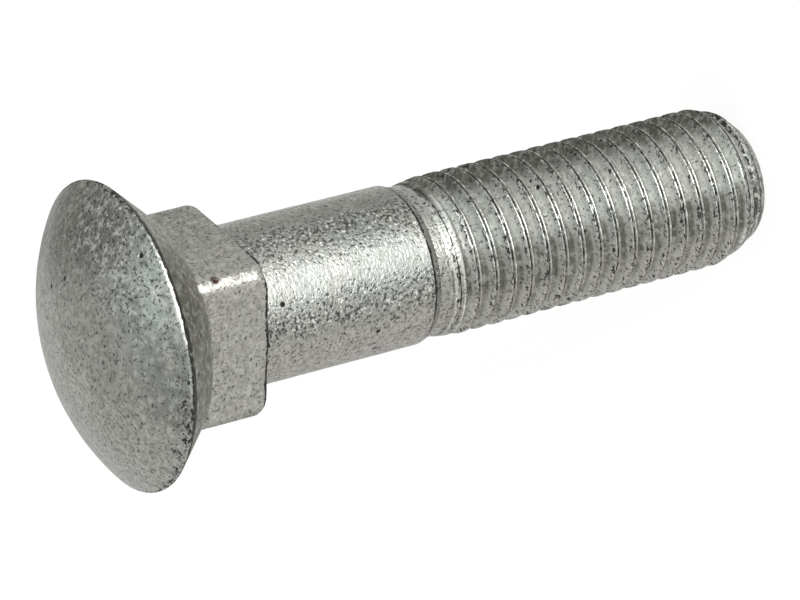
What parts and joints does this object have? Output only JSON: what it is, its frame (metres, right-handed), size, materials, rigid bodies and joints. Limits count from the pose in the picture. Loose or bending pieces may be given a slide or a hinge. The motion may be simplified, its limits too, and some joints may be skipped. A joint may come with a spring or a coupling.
{
  "type": "countersunk bolt",
  "caption": "Countersunk bolt with a low domed head, a square neck that stops it turning, a plain shank and a coarse thread, hot-dip galvanised.",
  "frame": {"origin": "centre of the flat end face of the thread, on which the bolt stands", "axes": "+Z along the bolt's axis, from the threaded end up to the head; +X and +Y square to the flats of the neck"},
  "size_m": [0.0305, 0.0304, 0.076],
  "materials": {
    "galvanised_steel": "hot-dip galvanised, dull grey zinc with a fine frosty grain, small pits and dark specks"
  },
  "bodies": {
    "root": {"bolt": "galvanised_steel"}
  },
  "joints": []
}
